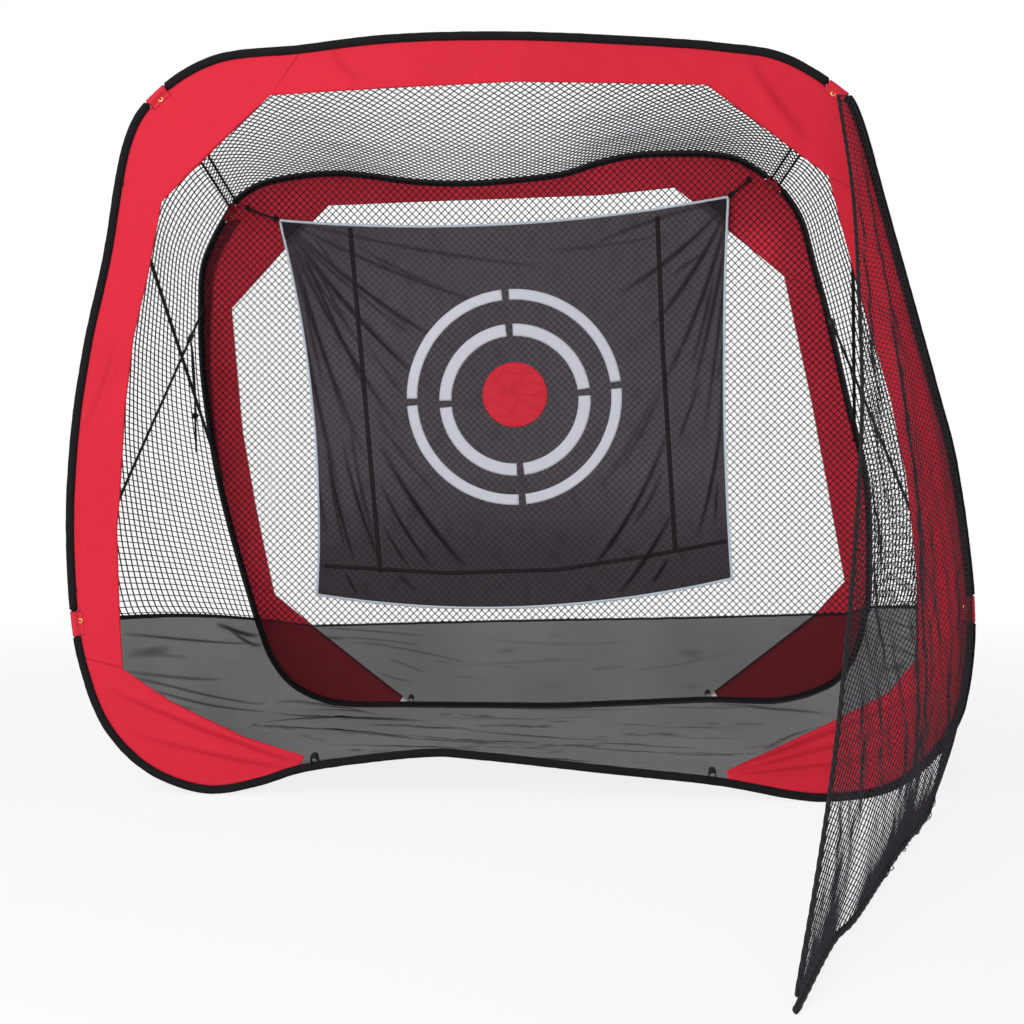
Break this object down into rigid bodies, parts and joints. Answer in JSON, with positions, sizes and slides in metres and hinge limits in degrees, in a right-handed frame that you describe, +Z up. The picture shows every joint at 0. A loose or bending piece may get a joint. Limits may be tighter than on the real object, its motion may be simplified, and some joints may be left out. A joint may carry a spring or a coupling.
{
  "type": "golf chipping net",
  "caption": "Pop-up chipping cage: two spring-wire hoops joined by netting, with a hanging ring target at the back and a net wing at the mouth.",
  "frame": {"origin": "on the ground at the centre of the footprint, wing included", "axes": "+Z up, -Y out of the open mouth towards the player, +X to the right seen from the mouth"},
  "size_m": [2.4643, 2.6914, 2.0418],
  "materials": {
    "spring_steel": "bare spring wire, satin",
    "sleeve_black": "matte woven binding",
    "border_red": "satin woven nylon",
    "netting": "knotless black netting, matte",
    "sheer_grey": "sheer dark mesh fabric",
    "webbing_black": "flat woven webbing",
    "webbing_red": "flat woven webbing",
    "cord_black": "twisted cord",
    "eyelet_brass": "rolled, polished",
    "slider_plastic": "moulded",
    "target_mesh": "dense dark mesh",
    "piping_blue": "satin piping",
    "ring_white": "sewn-on satin tape",
    "bullseye_red": "sewn-on satin patch",
    "corner_navy": "reinforcement cloth"
  },
  "bodies": {
    "front_frame": {"front_hoop_wire": "spring_steel", "front_hoop_ferrule": "spring_steel", "front_sleeve_top": "sleeve_black", "front_sleeve_right": "sleeve_black", "front_sleeve_bottom": "sleeve_black", "front_sleeve_left": "sleeve_black", "front_border_bottom_left": "border_red", "front_border_left": "border_red", "front_border_top_left": "border_red", "front_border_top": "border_red", "front_border_right": "border_red", "front_border_bottom_right": "border_red", "front_tabs": "webbing_red", "front_eyelets": "eyelet_brass", "front_peg_loops": "webbing_black", "top_net": "netting", "left_net": "netting", "right_net": "netting", "left_skirt": "sheer_grey", "right_skirt": "sheer_grey", "floor_sheet": "sheer_grey", "corner_tapes": "webbing_black", "skirt_tapes": "webbing_black", "left_strap": "webbing_black", "right_strap": "webbing_black", "left_slider_strap": "webbing_black", "right_slider_strap": "webbing_black"},
    "rear_frame": {"rear_hoop_wire": "spring_steel", "rear_hoop_ferrule": "spring_steel", "rear_sleeve_top": "sleeve_black", "rear_sleeve_bottom": "sleeve_black", "rear_border_bottom_left": "border_red", "rear_border_left": "border_red", "rear_border_top_left": "border_red", "rear_border_top": "border_red", "rear_border_top_right": "border_red", "rear_border_right": "border_red", "rear_border_bottom_right": "border_red", "rear_tabs": "webbing_red", "rear_eyelets": "eyelet_brass", "rear_peg_loops": "webbing_black", "back_net": "netting", "back_skirt": "sheer_grey", "back_seam_tape": "webbing_black", "left_slider_anchor": "webbing_black", "right_slider_anchor": "webbing_black"},
    "target": {"target_sheet": "target_mesh", "target_piping": "piping_blue", "target_outer_ring": "ring_white", "target_inner_ring": "ring_white", "target_bullseye": "bullseye_red", "target_corners": "corner_navy", "target_ties": "cord_black"},
    "wing": {"wing_net": "netting", "wing_lead_rope": "cord_black", "wing_ground_rope": "cord_black"},
    "left_slider": {"left_slider": "slider_plastic", "left_tail_cord": "cord_black"},
    "right_slider": {"right_slider": "slider_plastic"}
  },
  "joints": [
    {"name": "hoop_fold", "type": "slide", "parent": "front_frame", "child": "rear_frame", "axis": [0, -1, 0], "range_m": [0, 1.06], "deforming": ["top_net", "left_net", "right_net", "left_skirt", "right_skirt", "floor_sheet", "corner_tapes", "skirt_tapes", "left_strap", "right_strap", "left_slider_strap", "right_slider_strap"]},
    {"name": "target_swing", "type": "hinge", "parent": "rear_frame", "child": "target", "pos_m": [-1.025, 1.317, 1.813], "axis": [0.9989, 0, 0.0471], "range_deg": [-30, 0]},
    {"name": "wing_swing", "type": "hinge", "parent": "front_frame", "child": "wing", "pos_m": [0.842, 0.055, 1.8791], "axis": [-0.1756, 0, 0.9845], "range_deg": [0, 40], "deforming": ["wing_net"]},
    {"name": "left_slider_slide", "type": "slide", "parent": "rear_frame", "child": "left_slider", "axis": [0.0054, 0.8137, 0.5813], "range_m": [0, 0.12]},
    {"name": "right_slider_slide", "type": "slide", "parent": "rear_frame", "child": "right_slider", "axis": [-0.1102, 0.7518, 0.6501], "range_m": [0, 0.12]}
  ]
}
